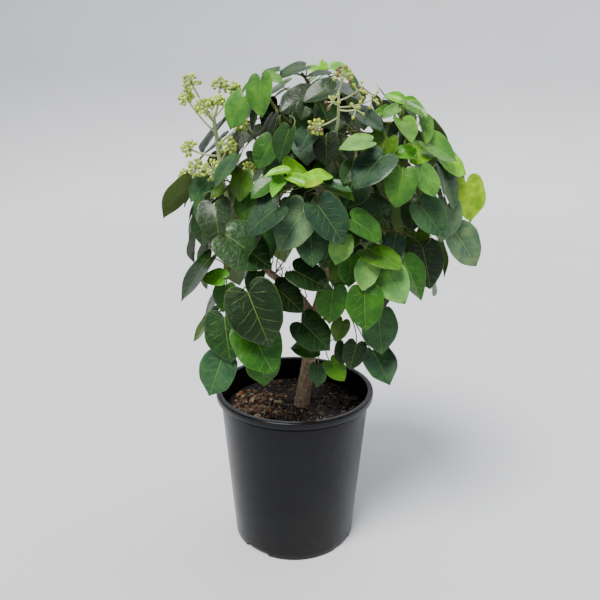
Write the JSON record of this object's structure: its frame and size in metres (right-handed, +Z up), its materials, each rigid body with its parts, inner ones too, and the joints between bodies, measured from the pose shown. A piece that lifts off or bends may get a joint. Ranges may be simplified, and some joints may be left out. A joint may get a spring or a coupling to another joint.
{
  "type": "potted tree ivy",
  "caption": "Shrubby adult ivy with heart-shaped leaves and two flower heads in bud, on a woody trunk in a tapered black nursery pot filled with bark mix.",
  "frame": {"origin": "middle of the pot's underside, on the surface that the pot stands on", "axes": "+Z up along the pot's axis, -Y toward the plant's front, +X to the plant's right as seen from the front"},
  "size_m": [0.3656, 0.2998, 0.5958],
  "materials": {
    "pot_plastic": "satin",
    "potting_mix": "rough, damp",
    "bark": "rough",
    "leaf_deep": "satin",
    "leaf_fresh": "satin",
    "leaf_lime": "satin",
    "flower_bud": "matte"
  },
  "bodies": {
    "root": {"pot": "pot_plastic", "soil": "potting_mix", "wood": "bark", "leaves_top_left": "leaf_deep", "leaves_top": "leaf_deep", "leaves_upper_right": "leaf_fresh", "leaves_right": "leaf_deep", "leaves_right_low": "leaf_fresh", "leaves_centre_lime": "leaf_lime", "leaves_centre": "leaf_deep", "leaves_centre_right": "leaf_deep", "leaves_left_mid": "leaf_deep", "leaves_flower_left": "leaf_deep", "leaves_left_low": "leaf_deep", "leaves_left_front": "leaf_deep", "leaves_centre_low": "leaf_deep", "leaves_right_front": "leaf_deep", "leaves_trunk_base": "leaf_deep", "leaves_far_top": "leaf_deep", "leaves_far_left_high": "leaf_deep", "leaves_far_left": "leaf_deep", "leaves_far_middle": "leaf_deep", "leaves_far_low": "leaf_deep", "leaves_far_right_low": "leaf_deep", "leaves_far_right": "leaf_deep", "leaves_far_right_high": "leaf_deep", "flowers_left": "flower_bud", "flowers_right": "flower_bud"}
  },
  "joints": []
}
